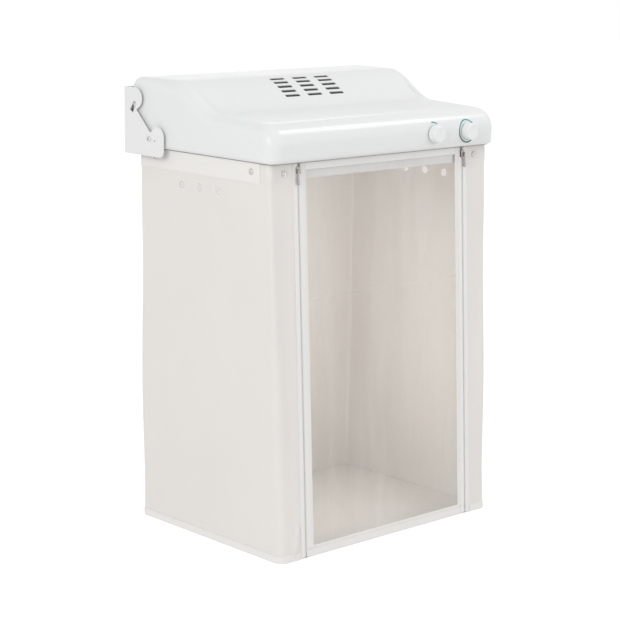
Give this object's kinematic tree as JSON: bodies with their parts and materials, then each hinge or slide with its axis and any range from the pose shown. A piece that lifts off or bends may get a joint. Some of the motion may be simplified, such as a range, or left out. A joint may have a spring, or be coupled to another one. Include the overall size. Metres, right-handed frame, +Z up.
{
  "type": "drying cabinet",
  "caption": "Wall-hung warm-air drying cabinet: moulded fan-heater head on a steel bracket, with a fabric bag, a zipped clear window and a hanger rail.",
  "frame": {"origin": "middle of the four wall-screw holes, on the wall's face", "axes": "+X to the viewer's right, +Y into the wall, +Z up"},
  "size_m": [0.7626, 0.5486, 1.0865],
  "materials": {
    "coated_steel": "satin white powder coat",
    "white_plastic": "smooth, soft gloss",
    "inner_plastic": "matt off-white",
    "bright_steel": "plain bright steel",
    "dark_plastic": "matt black",
    "grey_plastic": "matt grey",
    "ceramic": "matt, standing in for mica and ceramic",
    "heating_alloy": "heat-tinted alloy ribbon",
    "filter_foam": "open foam",
    "teal_print": "printed, smooth",
    "wire_jacket": "flexible sheath",
    "cream_fabric": "coated woven fabric",
    "white_fabric": "coated woven fabric, doubled",
    "zip_tape": "woven tape with moulded chain",
    "clear_film": "clear flexible film",
    "snap_metal": "moulded press stud",
    "zip_metal": "nickel-plated casting"
  },
  "bodies": {
    "cabinet": {"wall_bracket": "coated_steel", "side_screws": "bright_steel", "side_nuts": "bright_steel", "side_spacers": "inner_plastic", "hook_pegs": "bright_steel", "top_housing": "white_plastic", "base_pan": "inner_plastic", "base_screws": "bright_steel", "bag_frame": "inner_plastic", "outlet_grille": "inner_plastic", "air_duct": "grey_plastic", "fan_motor": "grey_plastic", "heater_frame": "ceramic", "heater_ribbon": "heating_alloy", "thermostat": "dark_plastic", "intake_filter": "filter_foam", "timer_body": "dark_plastic", "heat_switch_body": "dark_plastic", "timer_mark": "teal_print", "heat_ring": "teal_print", "terminal_block": "ceramic", "wiring": "wire_jacket", "cord_gland": "dark_plastic", "hanger_rail": "coated_steel", "rail_brackets": "inner_plastic", "bag_left": "cream_fabric", "bag_right": "cream_fabric", "bag_back": "cream_fabric", "bag_floor": "cream_fabric", "bag_front_left": "cream_fabric", "bag_front_right": "cream_fabric", "bag_sill": "cream_fabric", "bag_hem": "white_fabric", "side_bands": "white_fabric", "press_studs": "snap_metal", "bag_zip_tapes": "zip_tape"},
    "timer_dial": {"timer_knob": "white_plastic", "timer_spindle": "bright_steel"},
    "heat_dial": {"heat_knob": "white_plastic", "heat_spindle": "bright_steel"},
    "fan": {"fan_impeller": "grey_plastic"},
    "window": {"window_film": "clear_film", "window_border": "white_fabric", "window_band": "white_fabric", "window_zip_tapes": "zip_tape"},
    "slider_left": {"zip_slider_left": "zip_metal"},
    "slider_right": {"zip_slider_right": "zip_metal"},
    "pull_left": {"zip_pull_left": "zip_metal"},
    "pull_right": {"zip_pull_right": "zip_metal"}
  },
  "joints": [
    {"name": "timer_turn", "type": "hinge", "parent": "cabinet", "child": "timer_dial", "pos_m": [0.147, -0.53, -0.022], "axis": [0, 1, 0], "range_deg": [0, 300]},
    {"name": "heat_turn", "type": "hinge", "parent": "cabinet", "child": "heat_dial", "pos_m": [0.261, -0.53, -0.022], "axis": [0, 1, 0], "range_deg": [0, 240]},
    {"name": "fan_spin", "type": "hinge", "parent": "cabinet", "child": "fan", "pos_m": [0, -0.226, 0], "axis": [0, 0, 1], "continuous": true},
    {"name": "window_fold", "type": "hinge", "parent": "cabinet", "child": "window", "pos_m": [0, -0.552, -0.96173], "axis": [1, 0, 0], "range_deg": [0, 175]},
    {"name": "zip_left", "type": "slide", "parent": "cabinet", "child": "slider_left", "axis": [0, -0.0498, -0.9988], "range_m": [0, 0.8921]},
    {"name": "zip_right", "type": "slide", "parent": "cabinet", "child": "slider_right", "axis": [0, -0.0498, -0.9988], "range_m": [0, 0.8921]},
    {"name": "pull_left_swing", "type": "hinge", "parent": "slider_left", "child": "pull_left", "pos_m": [-0.2735, -0.50764, -0.07869], "axis": [-1, 0, 0], "range_deg": [0, 110]},
    {"name": "pull_right_swing", "type": "hinge", "parent": "slider_right", "child": "pull_right", "pos_m": [0.2735, -0.50764, -0.07869], "axis": [-1, 0, 0], "range_deg": [0, 110]}
  ]
}
